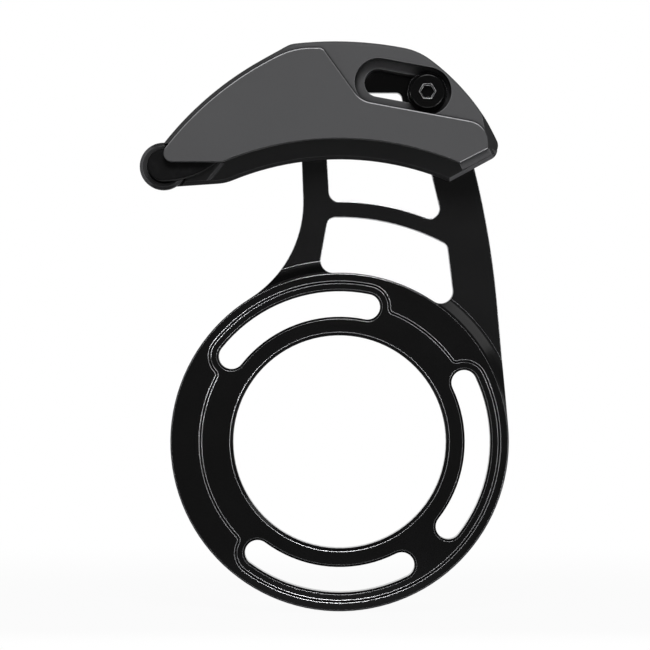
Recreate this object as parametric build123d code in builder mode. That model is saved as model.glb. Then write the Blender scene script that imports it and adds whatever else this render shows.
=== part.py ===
from build123d import *
from math import atan2, cos, degrees, hypot, radians, sin, sqrt, tan
import os

# Upper chain guide: a milled bracket that bolts around the bottom bracket, and a chain cage on its arm.
# Millimetres. X runs forward along the bicycle, Z up, and the drive side faces -Y.
# The origin is the bottom bracket axis on the mounting face. "Out" is the distance from that face towards -Y.

# Mounting ring, sized from the circle of the frame bolts
bolt_circle_radius = 28.0
bore_inset = 6.4
bore_chamfer = 0.7
ring_rim = 6.35
ring_thickness = 6.0
bolt_slot_width = 5.15
bolt_slot_sweep = 63.3
bolt_slot_middles = (110.0, -6.25, 265.15)
bolt_slot_chamfer = 0.45

# Lobed pocket in the front of the ring
pocket_offset = 0.5
pocket_margin = 2.1
pocket_depth = 0.8
pocket_slope = 32.0
pocket_corner = 0.8

# Legs and crossbar: window edges are placed where they pass the height of the crossbar
leg_thickness = 4.0
ramp_width = 2.3
ramp_edge = 0.25
left_leg_x = -7.4
left_leg_lean = -2.0
left_leg_blend = 23.2
right_leg_lean = -5.0
right_leg_straight = 25.0
lower_window_height = 11.25
lower_window_left_x = -2.3
lower_window_left_lean = 10.3
lower_window_right_x = 21.2
lower_window_right_lean = -7.0
lower_window_corner = 1.8
lower_window_foot = 2.5
crossbar_width = 3.2
upper_window_left_x = -2.04
upper_window_left_lean = -3.4
upper_window_right_x = 20.03
upper_window_right_lean = -13.6
upper_window_corner = 2.0

# Arm round the clamp screw
arm_underside_rise = 0.3
arm_corner = 6.0
arm_boss_radius = 5.0
arm_front_angle = 20.5
arm_boss_blend = 1.2

# Chain: radius of its path about the bottom bracket, and room beside it. The cage is placed from this radius
chain_radius = 62.0
channel_width = 9.5

# Clamp screw: M4 with a low head, on a small plain washer
clamp_x = 17.6
clamp_lift = 8.6
clamp_thread_radius = 2.0
clamp_head_radius = 3.5
clamp_head_height = 2.8
clamp_head_edge = 0.35
clamp_hex = 2.5
clamp_hex_depth = 1.6
clamp_hex_sink = 0.2
clamp_washer_radius = 4.0
clamp_washer_thickness = 0.5
clamp_washer_edge = 0.12
clamp_washer_spare = 0.15
clamp_tip_inset = 0.5
clamp_tip_chamfer = 0.5
thread_clearance = 0.02

# Thicknesses of the chain cage
leg_to_plate = 0.3
inner_thickness = 2.0
panel_thickness = 2.2
panel_rise = 1.0
slide_gap = 0.05

# Adjusting slot in the clamp flange
slot_tilt = 10.5
slot_travel = 10.0
slot_clearance = 0.8
recess_clearance = 0.8
recess_spare = 0.3
pad_wall = 1.8

# Raised panel of the outer plate
panel_drop = 0.95
heel_drop = 5.65
panel_toe_angle = 66.9
panel_end_angle = 27.0
panel_end_length = 6.5
panel_to_washer = 0.4
crest_lift = 12.8
crest_run = 24.85
crease_x = -3.5
crease_angle = 54.2
back_arc_x = 15.95
back_arc_drop = 59.3
panel_tip_round = 1.75
panel_crest_round = 15.0
panel_peak_round = 1.4
panel_crease_round = 5.0
panel_front_round = 4.5
panel_end_round = 0.6
panel_edge = 0.3

# Roof and clamp flange of the outer plate
roof_lift = 4.4
roof_ledge = 0.85
roof_wall = 2.2
roof_end_rise = 3.75
crest_border = 0.85
crest_slope = 29.0
crest_round = 5.0
flange_top_radius = 73.0
shoulder_x = 15.65
shoulder_drop = 1.35
shoulder_round = 13.0
flange_front_radius = 44.7
tip_x = 32.7
tip_rise = 2.05
tip_round = 2.1
tip_bevel_width = 2.7
tip_bevel_angle = 12.0
tip_bevel_slope = 60.0
lip_width = 1.45
lip_inset = 0.2
lip_slope = 25.0
flange_edge = 0.7
crease_wall = 1.5
rib_places = (-20.5, -13.75, -7.0)
rib_thickness = 1.4
rib_clearance = 1.2

# Inner plate, with a raised rest and a round lobe under the bumper
inner_drop = 4.65
inner_toe_angle = 67.1
inner_back_drop = 4.7
inner_back_rise = 3.9
inner_back_round = 10.0
inner_inset = 0.3
inner_crest_inset = 0.9
inner_crest_round = 8.0
inner_overlap = 0.2
inner_front_angle = 117.0
inner_front_length = 6.5
inner_to_pad = 0.4
inner_bevel = 0.65
lobe_inset = 1.32
lobe_drop = 0.5
lobe_radius = 4.8
lobe_rise = 1.4
lobe_gap = 0.5
lobe_gap_depth = 1.0
rest_length = 13.5
rest_angle = 51.0
rest_inset = 0.75
rest_cover = 0.2
rest_rise = 0.7
rest_bevel = 0.6

# Bumper between the plates at the rear end
nose_inset = 1.55
nose_drop = 0.45
nose_radius = 3.15
nose_gap = 0.4
nose_seat = 0.9
nose_edge = 0.35
bumper_low_angle = -80.0
bumper_length = 10.8
bumper_end_rise = 0.25
bumper_belly = 17.0
bumper_clearance = 0.4

# Screws that hold the plates together: M3, countersunk
rear_screw_inset = 9.02
rear_screw_rise = 3.05
crest_screw_drop = 4.85
front_screw_inset = 7.5
front_screw_rise = 6.2
plate_screw_radius = 1.5
plate_screw_head_radius = 2.8
plate_screw_sink = 45.0
plate_screw_length = 8.0
plate_screw_hex = 2.0
plate_screw_hex_depth = 1.0
screw_hole_spare = 0.7
boss_radius = 2.75
boss_clearance = 0.15
ear_radius = 3.1
sink_clearance = 0.05

# Sizes and heights that follow
bore_radius = bolt_circle_radius - bore_inset
ring_radius = bolt_circle_radius + ring_rim
pocket_radius = bolt_circle_radius + pocket_offset
crossbar_low_radius = ring_radius + lower_window_height
crossbar_high_radius = crossbar_low_radius + crossbar_width
clamp_z = chain_radius + clamp_lift
arm_underside = clamp_z + arm_underside_rise
slot_half_width = clamp_thread_radius + slot_clearance
recess_radius = clamp_washer_radius + recess_clearance
recess_depth = clamp_washer_thickness + clamp_head_height + recess_spare
panel_edge_offset = clamp_washer_radius + panel_to_washer
panel_radius = chain_radius - panel_drop
panel_heel = chain_radius - heel_drop
roof_radius = chain_radius + roof_lift
panel_crest = roof_radius + crest_lift
crest_height = panel_crest + crest_border
shoulder_z = crest_height - shoulder_drop
roof_end = panel_heel + roof_end_rise
tip_z = panel_heel + tip_rise
back_arc_z = panel_crest - back_arc_drop
back_arc_radius = hypot(crest_run, back_arc_drop)
cage_rear = back_arc_x - sqrt(back_arc_radius**2 - (panel_heel - back_arc_z) ** 2)
inner_radius = chain_radius - inner_drop
inner_back_edge = panel_heel - inner_back_drop
plate_screw_head_height = (plate_screw_head_radius - plate_screw_radius) / tan(radians(plate_screw_sink))
outside = 2 * ring_radius

# Distances out from the mounting face
pad_out = leg_thickness + slide_gap
inner_back_out = leg_thickness + leg_to_plate
inner_front_out = inner_back_out + inner_thickness
bumper_back_out = inner_front_out + lobe_rise
panel_back_out = inner_front_out + channel_width
panel_front_out = panel_back_out + panel_thickness
flange_out = panel_front_out - panel_rise
ledge_out = flange_out - recess_depth
washer_seat_out = ledge_out + slide_gap
head_seat_out = washer_seat_out + clamp_washer_thickness
head_out = head_seat_out + clamp_head_height

# Places in the plan, as X and Z
clamp = (clamp_x, clamp_z)
lobe = (cage_rear + lobe_inset, panel_heel - lobe_drop)
nose = (cage_rear + nose_inset, panel_heel - nose_drop)
rear_screw = (cage_rear + rear_screw_inset, panel_heel + rear_screw_rise)
crest_screw = (rib_places[-1], panel_crest - crest_screw_drop)
front_screw = (tip_x - front_screw_inset, tip_z + front_screw_rise)
plate_screw_places = (rear_screw, crest_screw, front_screw)


def polar(radius, angle):
    return (radius * cos(radians(angle)), radius * sin(radians(angle)))


def step(point, angle, distance):
    return (point[0] + distance * cos(radians(angle)), point[1] + distance * sin(radians(angle)))


def meet_circle(point, angle, radius, centre=(0, 0)):
    # Where a straight edge through a point, going in a direction, leaves a circle
    dx, dz = cos(radians(angle)), sin(radians(angle))
    x, z = point[0] - centre[0], point[1] - centre[1]
    along = x * dx + z * dz
    distance = -along + sqrt(along**2 - x**2 - z**2 + radius**2)
    return (point[0] + distance * dx, point[1] + distance * dz)


def meet_lines(first, first_angle, second, second_angle):
    dx, dz = cos(radians(first_angle)), sin(radians(first_angle))
    ex, ez = cos(radians(second_angle)), sin(radians(second_angle))
    x, z = second[0] - first[0], second[1] - first[1]
    distance = (x * ez - z * ex) / (dx * ez - dz * ex)
    return (first[0] + distance * dx, first[1] + distance * dz)


def back_arc_x_at(height, inset):
    # The rear edge of the cage is one arc, and the panel, roof and plates lie at insets from it
    return back_arc_x - sqrt((back_arc_radius + roof_ledge - inset) ** 2 - (height - back_arc_z) ** 2)


def slope_plane(point, angle, slope):
    # Plane through a point of the flange's front that falls away in a direction
    across = polar(1, angle)
    lean = sin(radians(slope))
    return Plane(
        origin=(point[0], -flange_out, point[1]),
        x_dir=(-across[1], 0, across[0]),
        z_dir=(lean * across[0], -cos(radians(slope)), lean * across[1]),
    )


def round_corner(sketch, point, radius):
    fillet(sketch.vertices().sort_by_distance((point[0], point[1], 0))[0], radius)


slot_middle = step(clamp, 180 - slot_tilt, slot_travel / 2)

# Plans of the two windows between the legs
with BuildSketch() as lower_window:
    lower_left = (lower_window_left_x, crossbar_low_radius)
    lower_right = (lower_window_right_x, crossbar_low_radius)
    corners = [
        meet_circle(lower_left, 90 - lower_window_left_lean, ring_radius),
        meet_circle(lower_left, 90 - lower_window_left_lean, crossbar_low_radius),
        meet_circle(lower_right, 90 - lower_window_right_lean, crossbar_low_radius),
        meet_circle(lower_right, 90 - lower_window_right_lean, ring_radius),
    ]
    with BuildLine():
        Line(corners[0], corners[1])
        RadiusArc(corners[1], corners[2], crossbar_low_radius)
        Line(corners[2], corners[3])
        RadiusArc(corners[3], corners[0], -ring_radius)
    make_face()
    round_corner(lower_window, corners[0], lower_window_foot)
    round_corner(lower_window, corners[3], lower_window_foot)
    round_corner(lower_window, corners[1], lower_window_corner)
    round_corner(lower_window, corners[2], lower_window_corner)

with BuildSketch() as upper_window:
    upper_left = (upper_window_left_x, crossbar_high_radius)
    upper_right = (upper_window_right_x, crossbar_high_radius)
    top_left = meet_lines(upper_left, 90 - upper_window_left_lean, (0, arm_underside), 0)
    top_right = meet_lines(upper_right, 90 - upper_window_right_lean, (0, arm_underside), 0)
    low_left = meet_circle(upper_left, 90 - upper_window_left_lean, crossbar_high_radius)
    low_right = meet_circle(upper_right, 90 - upper_window_right_lean, crossbar_high_radius)
    with BuildLine():
        Line(low_left, top_left)
        Line(top_left, top_right)
        Line(top_right, low_right)
        RadiusArc(low_right, low_left, -crossbar_high_radius)
    make_face()
    # The boss of the arm takes the fourth corner
    round_corner(upper_window, low_left, upper_window_corner)
    round_corner(upper_window, low_right, upper_window_corner)
    round_corner(upper_window, top_left, upper_window_corner)

# Plan of the bracket: the ring, and the legs that close in an arm round the clamp screw
with BuildSketch() as bracket_plan:
    Circle(ring_radius)
    blend_x = left_leg_x - left_leg_blend
    blend_centre = (blend_x, sqrt((ring_radius + left_leg_blend) ** 2 - blend_x**2))
    left_root = polar(ring_radius, degrees(atan2(blend_centre[1], blend_centre[0])))
    left_waist = step(blend_centre, -left_leg_lean, left_leg_blend)
    clamp_angle = degrees(atan2(clamp_z, clamp_x))
    arm_top_radius = hypot(*clamp) + arm_boss_radius
    arm_back = meet_circle(left_waist, 90 - left_leg_lean, arm_top_radius)
    arm_peak = polar(arm_top_radius, clamp_angle)
    right_root = polar(ring_radius, -right_leg_lean)
    right_waist = step(right_root, 90 - right_leg_lean, right_leg_straight)
    arm_front = step(clamp, arm_front_angle, arm_boss_radius)
    with BuildLine():
        RadiusArc(left_root, left_waist, -left_leg_blend)
        Line(left_waist, arm_back)
        RadiusArc(arm_back, arm_peak, arm_top_radius)
        RadiusArc(arm_peak, arm_front, arm_boss_radius)
        TangentArc(right_waist, arm_front, tangent=step((0, 0), 90 - right_leg_lean, 1))
        Line(right_waist, right_root)
        Line(right_root, left_root)
    make_face()
    round_corner(bracket_plan, arm_back, arm_corner)
    add(lower_window.sketch, mode=Mode.SUBTRACT)
    add(upper_window.sketch, mode=Mode.SUBTRACT)
    with Locations(clamp):
        Circle(arm_boss_radius)
    boss_corners = bracket_plan.vertices().filter_by(
        lambda v: abs((Vector(v.X, v.Y) - Vector(*clamp)).length - arm_boss_radius) < 0.01
    )
    fillet(boss_corners.filter_by(lambda v: v.X < clamp_x), arm_boss_blend)

# Plan of the bore and the three arc slots for the frame bolts
with BuildSketch() as opening_plan:
    Circle(bore_radius)
    for middle in bolt_slot_middles:
        slot_arc = CenterArc((0, 0), bolt_circle_radius, middle - bolt_slot_sweep / 2, bolt_slot_sweep)
        SlotArc(slot_arc, bolt_slot_width)

# Plan of the pocket: a disc with a lobe round each bolt slot, the lower two joined in one
with BuildSketch() as pocket_plan:
    Circle(pocket_radius)
    lobe_height = bolt_slot_width + 2 * pocket_margin
    upper_start = bolt_slot_middles[0] - bolt_slot_sweep / 2
    lower_start = bolt_slot_middles[2] - bolt_slot_sweep / 2
    lower_sweep = bolt_slot_middles[1] + 360 - bolt_slot_middles[2] + bolt_slot_sweep
    SlotArc(CenterArc((0, 0), bolt_circle_radius, upper_start, bolt_slot_sweep), lobe_height)
    SlotArc(CenterArc((0, 0), bolt_circle_radius, lower_start, lower_sweep), lobe_height)
    pocket_corners = pocket_plan.vertices().filter_by(
        lambda v: abs(Vector(v.X, v.Y).length - pocket_radius) < 0.01
    )
    fillet(pocket_corners, pocket_corner)

with BuildPart() as mounting_bracket:
    with BuildSketch(Plane.XZ):
        add(bracket_plan.sketch)
    extrude(amount=ring_thickness)
    # The legs lie lower than the ring's front, past a conical ramp
    with BuildSketch(Plane.XY):
        with BuildLine():
            Polyline(
                (ring_radius - ramp_edge, -ring_thickness),
                (ring_radius + ramp_edge, ramp_edge - ring_thickness),
                (ring_radius + ramp_width - ramp_edge, -leg_thickness - ramp_edge),
                (ring_radius + ramp_width + ramp_edge, -leg_thickness),
                (outside + arm_top_radius, -leg_thickness),
                (outside + arm_top_radius, -2 * ring_thickness),
                (ring_radius - ramp_edge, -2 * ring_thickness),
                close=True,
            )
        make_face()
    revolve(axis=Axis.Y, mode=Mode.SUBTRACT)
    with BuildSketch(Plane.XZ.offset(ring_thickness)):
        add(pocket_plan.sketch)
    extrude(amount=-pocket_depth, taper=pocket_slope, mode=Mode.SUBTRACT)
    with BuildSketch(Plane.XZ):
        add(opening_plan.sketch)
        with Locations(clamp):
            Circle(clamp_thread_radius + thread_clearance)
    extrude(amount=ring_thickness, mode=Mode.SUBTRACT)
    floor_point = (0, pocket_depth - ring_thickness, bore_radius)
    pocket_floor = mounting_bracket.faces().filter_by(Axis.Y).sort_by_distance(floor_point)[0]
    floor_openings = pocket_floor.inner_wires().sort_by(SortBy.LENGTH)
    chamfer(floor_openings[-1].edges(), bore_chamfer)
    for opening in floor_openings[:-1]:
        chamfer(opening.edges(), bolt_slot_chamfer)
mounting_bracket.part.label = "mounting_bracket"

# Plan of the raised panel
with BuildSketch() as panel_plan:
    tip = (cage_rear, panel_heel)
    heel = (-sqrt(panel_radius**2 - panel_heel**2), panel_heel)
    toe = polar(panel_radius, panel_toe_angle)
    end = step(toe, panel_end_angle, panel_end_length)
    edge_start = step(clamp, -90 - slot_tilt, panel_edge_offset)
    crease_top = (crease_x, panel_crest)
    front = meet_lines(end, 90, edge_start, -slot_tilt)
    crease_foot = meet_lines(crease_top, -crease_angle, edge_start, -slot_tilt)
    crest_back = (back_arc_x_at(panel_crest, roof_ledge), panel_crest)
    with BuildLine():
        Line(tip, heel)
        RadiusArc(heel, toe, panel_radius)
        Line(toe, end)
        Line(end, front)
        Line(front, crease_foot)
        Line(crease_foot, crease_top)
        Line(crease_top, crest_back)
        RadiusArc(crest_back, tip, -back_arc_radius)
    make_face()
    round_corner(panel_plan, tip, panel_tip_round)
    round_corner(panel_plan, toe, panel_end_round)
    round_corner(panel_plan, end, panel_end_round)
    round_corner(panel_plan, front, panel_front_round)
    round_corner(panel_plan, crease_foot, panel_crease_round)
    round_corner(panel_plan, crease_top, panel_peak_round)
    round_corner(panel_plan, crest_back, panel_crest_round)

# Plan of the roof and clamp flange, with a lip under the end of the panel
with BuildSketch() as body_plan:
    roof_low = (back_arc_x_at(roof_end, 0), roof_end)
    roof_inside = (back_arc_x_at(roof_end, roof_wall), roof_end)
    roof_turn = step((back_arc_x, back_arc_z), 90 + crest_slope, back_arc_radius + roof_ledge)
    crest = meet_lines(roof_turn, crest_slope, (0, crest_height), 0)
    shoulder = (shoulder_x, shoulder_z)
    lip_toe = step(toe, panel_end_angle - 90, lip_width)
    lip_tip = meet_lines(lip_toe, panel_end_angle, (tip_x - lip_inset, 0), 90)
    with BuildLine():
        RadiusArc(roof_low, roof_turn, back_arc_radius + roof_ledge)
        Line(roof_turn, crest)
        RadiusArc(crest, shoulder, flange_top_radius)
        RadiusArc(shoulder, lip_tip, flange_front_radius)
        Polyline(lip_tip, lip_toe, toe)
        RadiusArc(toe, heel, -panel_radius)
        Line(heel, roof_inside)
        Line(roof_inside, roof_low)
    make_face()
    round_corner(body_plan, crest, crest_round)
    round_corner(body_plan, shoulder, shoulder_round)
    round_corner(body_plan, lip_tip, tip_round)

# Plan of the chain channel under the roof, open below and at both ends
with BuildSketch() as channel_plan:
    crease_up = 180 - crease_angle
    crease_inside = step(crease_top, crease_up + 90, crease_wall)
    channel_crest = crest_height - roof_wall
    channel_front = polar(roof_radius, panel_toe_angle / 2)
    channel_foot = meet_circle(crease_inside, crease_up, roof_radius)
    channel_peak = meet_lines(crease_inside, crease_up, (0, channel_crest), 0)
    channel_back = (back_arc_x_at(channel_crest, roof_wall), channel_crest)
    with BuildLine():
        RadiusArc(channel_front, channel_foot, -roof_radius)
        Line(channel_foot, channel_peak)
        Line(channel_peak, channel_back)
        RadiusArc(channel_back, roof_inside, -(back_arc_radius + roof_ledge - roof_wall))
        Polyline(roof_inside, (-outside, roof_end), (-outside, 0), (outside, 0), channel_front)
    make_face()
    round_corner(channel_plan, channel_foot, panel_crease_round - crease_wall)
    round_corner(channel_plan, channel_back, crest_round - roof_wall)
    round_corner(channel_plan, channel_peak, panel_peak_round)

with BuildPart() as outer_plate:
    with BuildSketch(Plane.XZ.offset(inner_front_out)):
        add(body_plan.sketch)
    extrude(amount=flange_out - inner_front_out)
    flange_face = outer_plate.faces().sort_by(Axis.Y)[0]
    tip_edges = flange_face.edges().filter_by(lambda e: e.position_at(0.5).X > end[0])
    tip_edges = tip_edges.filter_by(GeomType.CIRCLE)
    top_edges = flange_face.edges().filter_by(lambda e: e.position_at(0.5).Z > roof_end + roof_wall)
    fillet(set(tip_edges + top_edges), flange_edge)
    # The flange slopes away at the front tip, and so does the lip
    with BuildSketch(slope_plane((tip_x - tip_bevel_width, tip_z), tip_bevel_angle, tip_bevel_slope)):
        Rectangle(outside, outside)
    extrude(amount=outside, mode=Mode.SUBTRACT)
    with BuildSketch(slope_plane(toe, panel_end_angle - 90, lip_slope)):
        Rectangle(outside, outside)
    extrude(amount=outside, mode=Mode.SUBTRACT)
    with BuildSketch(Plane.XZ.offset(ledge_out)):
        add(panel_plan.sketch)
    extrude(amount=panel_front_out - ledge_out)
    panel_face = outer_plate.faces().sort_by(Axis.Y)[0]
    fillet(panel_face.edges(), panel_edge)
    with BuildSketch(Plane.XZ.offset(inner_front_out)):
        add(channel_plan.sketch)
    extrude(amount=channel_width, mode=Mode.SUBTRACT)
    # Ribs and screw bosses under the roof, clear of the chain
    with BuildSketch(Plane.XZ.offset(inner_front_out)):
        for place in rib_places:
            rib_low = sqrt((roof_radius + rib_clearance) ** 2 - place**2)
            rib_reach = back_arc_radius + roof_ledge - roof_wall / 2
            rib_high = back_arc_z + sqrt(rib_reach**2 - (place - back_arc_x) ** 2)
            with Locations((place, (rib_low + rib_high) / 2)):
                Rectangle(rib_thickness, rib_high - rib_low)
        with Locations(rear_screw, crest_screw):
            Circle(boss_radius)
    extrude(amount=channel_width)
    with BuildSketch(Plane.XZ.offset(inner_front_out)):
        with Locations(lobe):
            Circle(lobe_radius + boss_clearance)
    extrude(amount=lobe_rise + boss_clearance, mode=Mode.SUBTRACT)
    # Sliding pad on the arm, and the slot for the clamp screw with a recess for its head
    with BuildSketch(Plane.XZ.offset(pad_out)):
        SlotCenterPoint(slot_middle, clamp, 2 * (slot_half_width + pad_wall))
    extrude(amount=inner_front_out - pad_out)
    with BuildSketch(Plane.XZ.offset(flange_out)):
        SlotCenterPoint(slot_middle, clamp, 2 * recess_radius)
        add(panel_plan.sketch, mode=Mode.SUBTRACT)
    extrude(amount=-recess_depth, mode=Mode.SUBTRACT)
    with BuildSketch(Plane.XZ.offset(pad_out)):
        SlotCenterPoint(slot_middle, clamp, 2 * slot_half_width)
    extrude(amount=flange_out - pad_out, mode=Mode.SUBTRACT)
    with BuildSketch(Plane.XZ.offset(inner_front_out)):
        with Locations(*plate_screw_places):
            Circle(plate_screw_radius + thread_clearance)
    extrude(amount=plate_screw_length - inner_thickness + screw_hole_spare, mode=Mode.SUBTRACT)
outer_plate.part.label = "outer_plate"

# Plan of the inner plate: a band under the panel, with an ear round the front screw
with BuildSketch() as inner_plan:
    cage_tip = (tip_x, tip_z)
    inner_low = (lobe[0], inner_back_edge)
    inner_turn = meet_circle(inner_low, 180 + inner_back_rise, inner_radius)
    inner_toe = polar(inner_radius, inner_toe_angle)
    inner_front = step(cage_tip, inner_front_angle, inner_front_length)
    inner_top_radius = hypot(*clamp) - slot_half_width - pad_wall - inner_to_pad
    inner_shoulder = polar(inner_top_radius, degrees(atan2(front_screw[1], front_screw[0])))
    inner_crest = crest_height - inner_crest_inset
    crease_outside = step(crease_top, crease_up - 90, inner_overlap)
    inner_foot = meet_circle(crease_outside, crease_up, inner_top_radius)
    inner_peak = meet_lines(crease_outside, crease_up, (0, inner_crest), 0)
    inner_back = (back_arc_x_at(inner_crest, inner_inset), inner_crest)
    inner_rear = (back_arc_x_at(roof_end, inner_inset), roof_end)
    with BuildLine():
        Polyline(inner_rear, lobe, inner_low, inner_turn)
        RadiusArc(inner_turn, inner_toe, inner_radius)
        Polyline(inner_toe, cage_tip, inner_front, front_screw, inner_shoulder)
        RadiusArc(inner_shoulder, inner_foot, -inner_top_radius)
        Polyline(inner_foot, inner_peak, inner_back)
        RadiusArc(inner_back, inner_rear, -(back_arc_radius + roof_ledge - inner_inset))
    make_face()
    round_corner(inner_plan, inner_turn, inner_back_round)
    round_corner(inner_plan, cage_tip, tip_round)
    round_corner(inner_plan, inner_back, inner_crest_round)
    with Locations(front_screw):
        Circle(ear_radius)

with BuildPart() as inner_plate:
    with BuildSketch(Plane.XZ.offset(inner_back_out)):
        add(inner_plan.sketch)
    extrude(amount=inner_thickness)
    lobe_front = lobe[0] + lobe_radius
    band_face = inner_plate.faces().sort_by(Axis.Y)[0]
    band_edges = band_face.edges().filter_by(lambda e: e.position_at(0.5).Z < roof_end)
    chamfer(band_edges.filter_by(lambda e: e.position_at(0.5).X > lobe_front), inner_bevel)
    # Raised rest under the bumper, ending in a slanted edge ahead of it
    rest_low = step(inner_low, 90 + inner_back_rise, rest_inset)
    rest_edge = (cage_rear + rest_length, panel_heel)
    rest_top = panel_heel + rest_cover
    rest_foot = meet_lines(rest_low, inner_back_rise, rest_edge, rest_angle)
    rest_head = meet_lines(rest_edge, rest_angle, (0, rest_top), 0)
    with BuildSketch(Plane.XZ.offset(inner_front_out)):
        with BuildLine():
            Polyline(rest_low, rest_foot, rest_head, (lobe[0], rest_top), close=True)
        make_face()
    extrude(amount=rest_rise)
    rest_edges = inner_plate.faces().sort_by(Axis.Y)[0].edges().filter_by(
        lambda e: e.position_at(0.5).X > lobe_front and e.position_at(0.5).Z < panel_heel
    )
    chamfer(rest_edges, rest_bevel)
    # Lobe with a groove round it, and a seat in it for the bumper's nose
    with BuildSketch(Plane.XZ.offset(inner_front_out - lobe_gap_depth)):
        with Locations(lobe):
            Circle(lobe_radius + lobe_gap)
    extrude(amount=lobe_gap_depth + rest_rise, mode=Mode.SUBTRACT)
    with BuildSketch(Plane.XZ.offset(inner_back_out)):
        with Locations(lobe):
            Circle(lobe_radius)
    extrude(amount=inner_thickness + lobe_rise)
    chamfer(inner_plate.faces().sort_by(Axis.Y)[0].edges(), inner_bevel)
    with BuildSketch(Plane.XZ.offset(bumper_back_out)):
        with Locations(nose):
            Circle(nose_radius + nose_gap)
    extrude(amount=-nose_seat, mode=Mode.SUBTRACT)
    with BuildSketch(Plane.XZ.offset(inner_back_out)):
        with Locations(*plate_screw_places):
            Circle(plate_screw_head_radius + sink_clearance)
    extrude(amount=plate_screw_head_height, taper=plate_screw_sink, mode=Mode.SUBTRACT)
    with BuildSketch(Plane.XZ.offset(inner_back_out)):
        with Locations(*plate_screw_places):
            Circle(plate_screw_radius + thread_clearance)
    extrude(amount=inner_thickness, mode=Mode.SUBTRACT)
inner_plate.part.label = "inner_plate"

with BuildPart() as chain_bumper:
    nose_top = step(nose, 90, nose_radius)
    nose_rear = step(nose, 180, nose_radius)
    nose_low = step(nose, bumper_low_angle, nose_radius)
    bumper_front = nose[0] + bumper_length
    bumper_inset = roof_wall + bumper_clearance
    bumper_radius = back_arc_radius + roof_ledge - bumper_inset
    bumper_peak = (bumper_front, back_arc_z + sqrt(bumper_radius**2 - (bumper_front - back_arc_x) ** 2))
    bumper_foot = (bumper_front, panel_heel + bumper_end_rise)
    bumper_rear = (back_arc_x_at(nose_top[1], bumper_inset), nose_top[1])
    with BuildSketch(Plane.XZ.offset(bumper_back_out)):
        with BuildLine():
            Line(nose_top, bumper_rear)
            RadiusArc(bumper_rear, bumper_peak, bumper_radius)
            Line(bumper_peak, bumper_foot)
            RadiusArc(bumper_foot, nose_low, bumper_belly)
            ThreePointArc(nose_low, nose_rear, nose_top)
        make_face()
        with Locations(rear_screw):
            Circle(boss_radius + boss_clearance, mode=Mode.SUBTRACT)
    extrude(amount=panel_back_out - bumper_back_out)
    bumper_face = chain_bumper.faces().sort_by(Axis.Y)[0]
    fillet(bumper_face.outer_wire().edges(), nose_edge)
    with BuildSketch(Plane.XZ.offset(bumper_back_out)):
        with Locations(nose):
            Circle(nose_radius)
    extrude(amount=-nose_seat)
chain_bumper.part.label = "chain_bumper"

with BuildPart() as clamp_screw:
    with BuildSketch(Plane.XZ.offset(clamp_tip_inset)):
        with Locations(clamp):
            Circle(clamp_thread_radius)
    extrude(amount=head_seat_out - clamp_tip_inset)
    chamfer(clamp_screw.edges().sort_by(Axis.Y)[-1], clamp_tip_chamfer)
    with BuildSketch(Plane.XZ.offset(head_seat_out)):
        with Locations(clamp):
            Circle(clamp_head_radius)
    extrude(amount=clamp_head_height)
    fillet(clamp_screw.edges().sort_by(Axis.Y)[0], clamp_head_edge)
    with BuildSketch(Plane.XZ.offset(head_out)):
        with Locations(clamp):
            RegularPolygon(clamp_hex / 2, 6, major_radius=False)
    extrude(amount=-clamp_hex_depth, mode=Mode.SUBTRACT)
    head_face = clamp_screw.faces().sort_by(Axis.Y)[0]
    chamfer(head_face.inner_wires()[0].edges(), clamp_hex_sink)
clamp_screw.part.label = "clamp_screw"

with BuildPart() as clamp_washer:
    with BuildSketch(Plane.XZ.offset(washer_seat_out)):
        with Locations(clamp):
            Circle(clamp_washer_radius)
            Circle(clamp_thread_radius + clamp_washer_spare, mode=Mode.SUBTRACT)
    extrude(amount=clamp_washer_thickness)
    washer_face = clamp_washer.faces().sort_by(Axis.Y)[0]
    fillet(washer_face.outer_wire().edges(), clamp_washer_edge)
clamp_washer.part.label = "clamp_washer"

with BuildPart() as plate_screws:
    with BuildSketch(Plane.XZ.offset(inner_back_out)):
        with Locations(*plate_screw_places):
            Circle(plate_screw_head_radius)
    extrude(amount=plate_screw_head_height, taper=plate_screw_sink)
    with BuildSketch(Plane.XZ.offset(inner_back_out)):
        with Locations(*plate_screw_places):
            Circle(plate_screw_radius)
    extrude(amount=plate_screw_length)
    with BuildSketch(Plane.XZ.offset(inner_back_out)):
        with Locations(*plate_screw_places):
            RegularPolygon(plate_screw_hex / 2, 6, major_radius=False)
    extrude(amount=plate_screw_hex_depth, mode=Mode.SUBTRACT)
plate_screws.part.label = "plate_screws"

os.makedirs("parts", exist_ok=True)
export_step(mounting_bracket.part, "parts/mounting_bracket.step")
export_step(outer_plate.part, "parts/outer_plate.step")
export_step(inner_plate.part, "parts/inner_plate.step")
export_step(chain_bumper.part, "parts/chain_bumper.step")
export_step(clamp_screw.part, "parts/clamp_screw.step")
export_step(clamp_washer.part, "parts/clamp_washer.step")
export_step(plate_screws.part, "parts/plate_screws.step")
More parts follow.
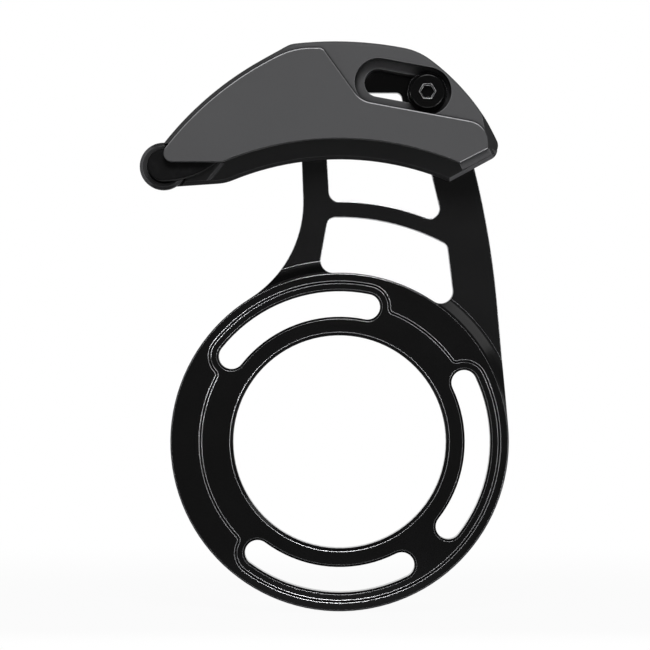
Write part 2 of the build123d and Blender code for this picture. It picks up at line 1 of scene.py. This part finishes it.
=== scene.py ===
import bpy
import math
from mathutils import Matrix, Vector


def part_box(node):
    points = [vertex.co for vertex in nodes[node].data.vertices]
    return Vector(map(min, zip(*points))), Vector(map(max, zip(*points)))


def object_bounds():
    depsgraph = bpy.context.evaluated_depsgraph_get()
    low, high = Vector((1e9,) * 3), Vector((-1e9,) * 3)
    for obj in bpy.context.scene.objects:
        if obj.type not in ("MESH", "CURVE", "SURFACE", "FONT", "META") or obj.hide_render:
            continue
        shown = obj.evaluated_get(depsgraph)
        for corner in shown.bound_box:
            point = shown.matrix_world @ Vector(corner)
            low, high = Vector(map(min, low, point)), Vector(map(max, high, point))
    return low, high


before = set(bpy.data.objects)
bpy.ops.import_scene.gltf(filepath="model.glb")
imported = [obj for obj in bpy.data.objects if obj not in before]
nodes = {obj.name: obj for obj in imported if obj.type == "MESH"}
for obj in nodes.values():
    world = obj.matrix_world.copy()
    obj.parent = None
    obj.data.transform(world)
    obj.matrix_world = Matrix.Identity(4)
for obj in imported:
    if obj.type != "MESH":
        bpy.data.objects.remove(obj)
cadBox = [list(corner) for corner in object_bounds()]
print("chain guide loaded:", ", ".join(sorted(nodes)))


class Wire:  # one socket of a material, used in sums like a number
    def __init__(self, tree, socket=None):
        self.tree = tree
        self.socket = socket

    def node(self, kind, inputs=None, out=0, **settings):
        made = self.tree.nodes.new(kind)
        for name, value in settings.items():
            setattr(made, name, value)
        for name, value in (inputs or {}).items():
            if isinstance(value, Wire):
                self.tree.links.new(value.socket, made.inputs[name])
            else:
                made.inputs[name].default_value = value
        return Wire(self.tree, made.outputs[out] if len(made.outputs) else None)

    def math(self, operation, first, second):
        return self.node("ShaderNodeMath", {0: first, 1: second}, operation=operation)

    def __add__(self, other):
        return self.math("ADD", self, other)

    def __radd__(self, other):
        return self.math("ADD", other, self)

    def __sub__(self, other):
        return self.math("SUBTRACT", self, other)

    def __rsub__(self, other):
        return self.math("SUBTRACT", other, self)

    def __mul__(self, other):
        return self.math("MULTIPLY", self, other)

    def __rmul__(self, other):
        return self.math("MULTIPLY", other, self)

    def __truediv__(self, other):
        return self.math("DIVIDE", self, other)

    def __pow__(self, other):
        return self.math("POWER", self, other)

    def atLeast(self, other):
        return self.math("MAXIMUM", self, other)

    def over(self, low, high):  # 0 below low, 1 above high
        return self.node("ShaderNodeMapRange", {"Value": self, "From Min": low, "From Max": high},
                         interpolation_type="SMOOTHSTEP")

    def raised(self, least):  # 0 to 1 becomes least to 1
        return least + self * (1 - least)

    def swing(self, width):  # a noise becomes a sway round 0
        return (self - 0.5) * width

    def between(self, first, second):  # this share of the way from the first colour to the second
        sockets = {0: self, 6: first, 7: second}  # 6 and 7 take colours, and 2 gives one
        return self.node("ShaderNodeMix", sockets, 2, data_type="RGBA")

    def noise(self, scale, detail, rough):
        return self.node("ShaderNodeTexNoise",
                         {"Vector": self, "Scale": scale, "Detail": detail, "Roughness": rough})

    def part(self, axis):
        return self.node("ShaderNodeSeparateXYZ", {"Vector": self}, axis)

    def dot(self, other):
        return self.node("ShaderNodeVectorMath", {0: self, 1: other}, "Value", operation="DOT_PRODUCT")

    def length(self):
        return self.node("ShaderNodeVectorMath", {0: self}, "Value", operation="LENGTH")

    def fromAxis(self, x, z):  # a place seen along Y, measured from an axis at x and z
        return self.node("ShaderNodeVectorMath", {0: self, 1: (1, 0, 1), 2: (-x, 0, -z)},
                         operation="MULTIPLY_ADD")


def newFinish(name):  # an empty material, and the place on its piece
    finish = bpy.data.materials.new(name)
    finish.use_nodes = True
    finish.node_tree.nodes.clear()
    start = Wire(finish.node_tree)
    return finish, start, start.node("ShaderNodeTexCoord", out="Object")


def closeFinish(start, kind, inputs):
    shader = start.node(kind, inputs)
    start.node("ShaderNodeOutputMaterial", {"Surface": shader})


def facing(start):  # the way that a surface faces
    return start.node("ShaderNodeNewGeometry", out="Normal")


def grained(start, height, normal, strength, depth):
    return start.node("ShaderNodeBump", {
        "Height": height, "Normal": normal, "Strength": strength, "Distance": depth})


masks = {
    "edgeSamples": 12, "shadeSamples": 8,
    "turned": (0.004, 0.06),  # edges show where the rounded normal leaves the flat one
    "outward": (0.1, 0.35),  # and still looks to the front or the back
}
coolness = 1.03  # blue in a grey, against its red and green


def edgeMask(start, radius):  # the rounded normal, and near 1 along the edges
    rounded = start.node("ShaderNodeBevel", {"Radius": radius}, samples=masks["edgeSamples"])
    turned = 1 - rounded.dot(facing(start))
    outward = rounded.part("Y") ** 2
    return rounded, turned.over(*masks["turned"]) * outward.over(*masks["outward"])


def paintedShadeMask(start, reach, low, high):  # painted shade: near 1 where other walls stand within the reach
    free = start.node("ShaderNodeAmbientOcclusion", {"Distance": reach}, "AO", samples=masks["shadeSamples"])
    return (1 - free).over(low, high)


def grey(level):
    return (level, level, level * coolness, 1)


# In the finishes a noise is its scale, detail and roughness, and a bump its strength and depth
anodised = {
    "legs": 0.0095, "ring": 0.0034,  # painted shade: the ring's face is painted blacker than the legs
    "step": (0.0042, 0.005),  # and stands further out than the legs
    "cloud": (90, 3, 0.55), "uneven": (0.8, 1.2),
    "grain": (5200, 4, 0.6), "grainFrom": 0.45, "grainShare": 0.8, "bump": (0.22, 0.00001),
    "rough": 0.15, "grainRough": 0.12, "cloudRough": 0.08, "shine": 0.5,
    # edges: bare aluminium wear, and a painted highlight along them
    "edge": 0.00026, "bareAndGlint": 0.75, "bareRough": 0.36, "bareMetal": 0.8,
    "rubAndGlint": (420, 3, 0.55), "rubbedAndGlint": (0.3, 0.62), "leastWornAndGlint": 0.85,
}
boltSlots = {
    "radius": 0.028, "middles": (110, 354, 265),  # degrees round the ring
    "reach": (0.003, 0.0034), "spread": (39.3, 38.0),  # how near their edges lie, and degrees each way
    "wornAndGlint": 0.3,  # the edge wear and painted highlight here stay darker than the pocket's
}


def slotMask(place):  # 1 in and close round the bolt slots
    flat = place.fromAxis(0, 0)
    radius = flat.length()
    near, clear = [reach ** 2 for reach in boltSlots["reach"]]
    beside = 1 - ((radius - boltSlots["radius"]) ** 2).over(near, clear)
    spread = [math.cos(math.radians(angle)) for angle in boltSlots["spread"]]
    middles = [math.radians(angle) for angle in boltSlots["middles"]]
    ways = [(math.cos(angle), 0, math.sin(angle)) for angle in middles]
    return beside * sum((flat.dot(way) / radius).over(*spread) for way in ways)


def blackAnodised():
    finish, start, place = newFinish("black_anodised_milled")
    rounded, edges = edgeMask(start, anodised["edge"])
    fine = place.noise(*anodised["grain"])
    cloud = place.noise(*anodised["cloud"])
    rubAndGlint = place.noise(*anodised["rubAndGlint"]).over(*anodised["rubbedAndGlint"])
    wearAndGlint = edges * rubAndGlint.raised(anodised["leastWornAndGlint"])  # anodising thinned along the milled edges, and a painted highlight along them
    # the painted edge highlight and wear are kept darker round the bolt slots
    wearAndGlint = wearAndGlint * (1 - slotMask(place) * (1 - boltSlots["wornAndGlint"]))
    # painted shade: the ring's face, further out than the legs, is painted darker
    turned = (place.part("Y") * -1).over(*anodised["step"])
    dull, lit = [turned.between(grey(anodised["legs"] * share), grey(anodised["ring"] * share))
                 for share in anodised["uneven"]]
    base = cloud.between(dull, lit)
    flecks = (fine - anodised["grainFrom"]) * anodised["grainShare"]
    base = flecks.between(base, grey(anodised["legs"]))
    base = wearAndGlint.between(base, grey(anodised["bareAndGlint"]))
    rough = anodised["rough"] + fine.swing(anodised["grainRough"]) + cloud.swing(anodised["cloudRough"])
    rough = rough + wearAndGlint * (anodised["bareRough"] - anodised["rough"])
    smoothEdged = fine * (1 - edges)
    closeFinish(start, "ShaderNodeBsdfPrincipled", {
        "Base Color": base,
        "Roughness": rough,
        "Metallic": wearAndGlint * anodised["bareMetal"],
        "Normal": grained(start, smoothEdged, rounded, *anodised["bump"]),
        "Specular IOR Level": anodised["shine"],
    })
    return finish


greyNylon = {
    # the pale shade of scuffed edges and of the painted highlight on the rim
    "name": "grey_moulded_nylon", "colour": 0.089, "wornAndGlint": 0.75, "rough": 0.55, "shine": 0.08,
    "sideShade": 0.76,  # painted shade on the side walls
}
blackNylon = {
    "name": "black_moulded_nylon", "colour": 0.03, "wornAndGlint": 0.25, "rough": 0.4, "shine": 0.12,
    "sideShade": 0.0,
}
nylon = {
    "cloud": (60, 3, 0.55), "uneven": (0.94, 1.06),
    "grain": (2600, 3, 0.6), "grainFrom": 0.3, "grainShare": 0.5, "grainLight": 1.15, "grainRough": 0.12,
    "pits": 3640, "pitDepth": 0.6, "bump": (0.3, 0.00002),
    "edge": 0.0003, "scuffsAndGlint": 0.25,
    # Painted highlight, lighter where light falls: the raised panel's upper rim, the cut front corner and
    # upright walls near the arm
    "panel": (0.0172, 0.0176), "panelUp": (0.45, 0.95),
    "frontEnd": (0.018, 0.022), "cutForward": (0.15, 0.3), "cutDown": (0.6, 0.8),
    "inner": (0.008, 0.01), "innerUpright": (0.1, 0.4), "innerShare": 0.4,
    "rimTurn": (0.24, 0.53), "leastGlint": 0.5,
    # Painted shade, darker where shade falls: tight corners, the gap round the clamp screw, the side walls
    # and the rear end
    "corner": 0.0005, "cornerShade": (0.05, 0.4),
    "gap": 0.0025, "gapShade": (0.3, 0.55),
    "sideTurn": (0.53, 0.9), "sideUp": (0.3, 0.7),
    "rearEnd": (-0.016, -0.006), "rearShade": 0.7,
    "shadeShare": 0.9, "shadeTone": 0.15,
}


def mouldedNylon(kind):
    finish, start, place = newFinish(kind["name"])
    rounded, edges = edgeMask(start, nylon["edge"])
    fine = place.noise(*nylon["grain"])
    pits = start.node("ShaderNodeTexVoronoi", {"Vector": place, "Scale": nylon["pits"]}, "Distance")
    dull, lit = [grey(kind["colour"] * share) for share in nylon["uneven"]]
    base = place.noise(*nylon["cloud"]).between(dull, lit)
    flecks = (fine - nylon["grainFrom"]) * nylon["grainShare"]
    base = flecks.between(base, grey(kind["colour"] * nylon["grainLight"]))

    out = place.part("Y") * -1
    along = place.part("X")
    right = facing(start).part("X")
    up = facing(start).part("Z")
    across = (right ** 2 + up ** 2) ** 0.5  # 0 on front and back faces, 1 on side walls
    rise = up / across
    forward = right / across
    panel = out.over(*nylon["panel"])

    # painted highlight: faces that catch the light are painted paler
    cut = along.over(*nylon["frontEnd"]) * forward.over(*nylon["cutForward"])
    cut = cut * (rise * -1).over(*nylon["cutDown"])
    upright = nylon["innerShare"] * (1 - rise ** 2).over(*nylon["innerUpright"])
    inner = (1 - out.over(*nylon["inner"])) * cut.atLeast(upright)
    rim = panel * rise.over(*nylon["panelUp"]).atLeast(cut)
    rim = rim.atLeast(inner) * across.over(*nylon["rimTurn"])

    corner = paintedShadeMask(start, nylon["corner"], *nylon["cornerShade"])
    gap = paintedShadeMask(start, nylon["gap"], *nylon["gapShade"])
    sides = across.over(*nylon["sideTurn"]) * (1 - rise.over(*nylon["sideUp"]))
    rear = (1 - along.over(*nylon["rearEnd"])) * (1 - panel) * nylon["rearShade"]
    # painted shade: corners, the screw's gap, side walls and the rear end are painted darker
    paintedShade = corner.atLeast(gap) * nylon["shadeShare"]
    paintedShade = paintedShade.atLeast(sides.atLeast(rear) * kind["sideShade"])
    base = paintedShade.between(base, grey(kind["colour"] * nylon["shadeTone"]))

    # pale edges: scuffs that are partly a painted highlight, and the rim's painted highlight
    scuffedAndGlint = edges * fine * nylon["scuffsAndGlint"] * (1 - corner)
    rubbedAndGlint = rim * fine.raised(nylon["leastGlint"])
    base = scuffedAndGlint.atLeast(rubbedAndGlint).between(base, grey(kind["wornAndGlint"]))
    pitted = fine + pits * nylon["pitDepth"]
    closeFinish(start, "ShaderNodeBsdfPrincipled", {
        "Base Color": base,
        "Roughness": kind["rough"] + fine.swing(nylon["grainRough"]),
        "Normal": grained(start, pitted, rounded, *nylon["bump"]),
        "Specular IOR Level": kind["shine"],
    })
    return finish


rubber = {
    "colour": 0.009, "rough": 0.7, "shine": 0.02,
    "grain": (3200, 3, 0.6), "grainRough": 0.1, "bump": (0.3, 0.00002),
    "dust": (500, 4, 0.55), "dusty": (0.5, 0.75), "dustShare": 0.4, "dustLight": 2,
}


def softRubber():
    finish, start, place = newFinish("black_soft_rubber")
    fine = place.noise(*rubber["grain"])
    dust = place.noise(*rubber["dust"]).over(*rubber["dusty"]) * rubber["dustShare"]
    base = dust.between(grey(rubber["colour"]), grey(rubber["colour"] * rubber["dustLight"]))
    closeFinish(start, "ShaderNodeBsdfPrincipled", {
        "Base Color": base,
        "Roughness": rubber["rough"] + fine.swing(rubber["grainRough"]),
        "Normal": grained(start, fine, facing(start), *rubber["bump"]),
        "Specular IOR Level": rubber["shine"],
    })
    return finish


steel = {
    "colour": 0.003, "patch": (600, 3, 0.55), "uneven": (0.7, 1.3),
    "rough": 0.2, "grain": (4200, 4, 0.6), "grainRough": 0.15, "bump": (0.25, 0.00001), "shine": 0.15,
    "edge": 0.00018, "wornAndGlint": 0.9, "wornMetal": 0.4, "rubbedAndGlint": (0.35, 0.65), "leastWornAndGlint": 0.5,
    "upward": (-0.2, 0.5), "lowerGlint": 0.4,  # painted highlight: edges that face down are painted less bright
    "key": (0.0017, 0.0021),  # except round the clamp screw's socket
}
screwLow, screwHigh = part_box("clamp_screw")
screwMiddle = (screwLow + screwHigh) / 2


def blackOxide():
    finish, start, place = newFinish("black_oxide_steel")
    rounded, edges = edgeMask(start, steel["edge"])
    fine = place.noise(*steel["grain"])
    patch = place.noise(*steel["patch"])
    keyed = 1 - place.fromAxis(screwMiddle.x, screwMiddle.z).length().over(*steel["key"])
    upper = facing(start).part("Z").over(*steel["upward"]).raised(steel["lowerGlint"])
    # edge wear, partly a painted highlight, brighter on edges that face up
    wearAndGlint = edges * patch.over(*steel["rubbedAndGlint"]).raised(steel["leastWornAndGlint"]) * upper.atLeast(keyed)
    dull, lit = [grey(steel["colour"] * share) for share in steel["uneven"]]
    base = wearAndGlint.between(patch.between(dull, lit), grey(steel["wornAndGlint"]))
    closeFinish(start, "ShaderNodeBsdfPrincipled", {
        "Base Color": base,
        "Roughness": steel["rough"] + fine.swing(steel["grainRough"]),
        "Metallic": wearAndGlint * steel["wornMetal"],
        "Normal": grained(start, fine, rounded, *steel["bump"]),
        "Specular IOR Level": steel["shine"],
    })
    return finish


oxide = blackOxide()
finishes = {
    "mounting_bracket": blackAnodised(),
    "outer_plate": mouldedNylon(greyNylon),
    "inner_plate": mouldedNylon(blackNylon),
    "chain_bumper": softRubber(),
    "clamp_screw": oxide,
    "clamp_washer": oxide,
    "plate_screws": oxide,
}
for name, finish in finishes.items():
    nodes[name].data.materials.clear()
    nodes[name].data.materials.append(finish)
print("finishes on", len(finishes), "nodes")


def seenPath(start):  # 1 for rays from the camera, and 1 for those by way of mirrors and glass
    direct, glossy, through = [start.node("ShaderNodeLightPath", out=name)
                               for name in ("Is Camera Ray", "Is Glossy Ray", "Is Transmission Ray")]
    return direct, glossy.atLeast(through)


white = (1, 1, 1, 1)
sweep = {
    "shade": 0.45,  # the floor's own grey, which takes the shadow
    "white": 0.95,  # share of white that the camera sees under the object
    "round": (0.08, 0.3), "ahead": (0.05, 0.1),  # and it is whole beyond these
    "mirrored": (0.0, 0.04),  # metal shows the white behind the object only
    "front": -0.11, "reach": 3.0, "drop": 0.0003,  # it ends just ahead of the object
}
floorPaint, floorStart, spot = newFinish("floor_paint")
direct, mirrored = seenPath(floorStart)
depth = spot.part("Y")
clear = spot.length().over(*sweep["round"]).atLeast((depth * -1).over(*sweep["ahead"]))
share = direct * clear.raised(sweep["white"]) + mirrored * depth.over(*sweep["mirrored"])
pale = floorStart.node("ShaderNodeBsdfDiffuse", {"Color": grey(sweep["shade"])})
glow = floorStart.node("ShaderNodeEmission", {"Color": white, "Strength": 1.0})
closeFinish(floorStart, "ShaderNodeMixShader", {0: share, 1: pale, 2: glow})
bpy.ops.object.select_all(action="DESELECT")
bpy.ops.mesh.primitive_plane_add(size=1)
floor = bpy.context.object
floor.name = "floor"
floor.scale = (2 * sweep["reach"], sweep["reach"] - sweep["front"], 1)
floor.location = (0, (sweep["reach"] + sweep["front"]) / 2, cadBox[0][2] - sweep["drop"])
bpy.ops.object.transform_apply()
floor.data.materials.append(floorPaint)
print("floor laid")

air = {
    "level": 0.09,  # light from all round
    "behind": (0.75, 0.95),  # metal shows white in this direction
}
world = bpy.data.worlds.new("studio_air")
world.use_nodes = True
world.node_tree.nodes.clear()
airStart = Wire(world.node_tree)
direct, mirrored = seenPath(airStart)
heading = airStart.node("ShaderNodeTexCoord", out="Object")
seen = direct.atLeast(mirrored * heading.part("Y").over(*air["behind"]))
sky = airStart.node("ShaderNodeBackground", {"Color": white, "Strength": seen.raised(air["level"])})
airStart.node("ShaderNodeOutputWorld", {"Surface": sky})
bpy.context.scene.world = world

lamps = {
    "target": (0, -0.008, 0.02),
    "plain": [  # name, place, size, power
        ("frontLamp", (0.04, -0.80, 0.58), 0.35, 6.2),
        ("lowLamp", (0.0, -0.75, -0.48), 0.35, 1.3),
        ("leftLamp", (-0.80, -0.40, 0.22), 0.45, 0.4),
        ("rightLamp", (0.75, -0.50, 0.02), 0.35, 0.4),
        ("sideLamp", (0.72, -0.14, 0.62), 0.35, 0.3),
        ("backLeftLamp", (-0.50, 0.90, 0.25), 0.4, 2.5),
        ("backRightLamp", (0.40, 0.95, 0.35), 0.4, 2.5),
    ],
    "glints": [  # these give highlights and no diffuse light
        ("rightShine", (0.50, -0.90, -0.35), 0.35, 6.0),
        ("leftShine", (-0.50, -0.90, -0.38), 0.35, 2.0),
    ],
}


def hangLamp(name, place, size, power, diffuse):
    lampData = bpy.data.lights.new(name, "AREA")
    lampData.shape = "SQUARE"
    lampData.size = size
    lampData.energy = power
    lamp = bpy.data.objects.new(name, lampData)
    lamp.location = place
    aim = Vector(lamps["target"]) - Vector(place)
    lamp.rotation_euler = aim.to_track_quat("-Z", "Y").to_euler()
    lamp.visible_camera = False
    lamp.visible_diffuse = diffuse
    bpy.context.scene.collection.objects.link(lamp)


for lamp in lamps["plain"]:
    hangLamp(*lamp, diffuse=True)
for lamp in lamps["glints"]:
    hangLamp(*lamp, diffuse=False)
print("lamps hung:", len(lamps["plain"]) + len(lamps["glints"]))

view = {
    "place": (-0.00296, -0.906, 0.02373),
    "field": 0.1318, "distance": 0.9,  # width seen at the front of the ring, and the way to it
    "sensor": 36,
}
cameraData = bpy.data.cameras.new("front_camera")
cameraData.sensor_width = view["sensor"]
cameraData.lens = view["sensor"] * view["distance"] / view["field"]
camera = bpy.data.objects.new("front_camera", cameraData)
camera.location = view["place"]
camera.rotation_euler = (math.pi / 2, 0, 0)
bpy.context.scene.collection.objects.link(camera)
bpy.context.scene.camera = camera
bpy.context.scene.view_settings.view_transform = "Standard"
print("camera set")
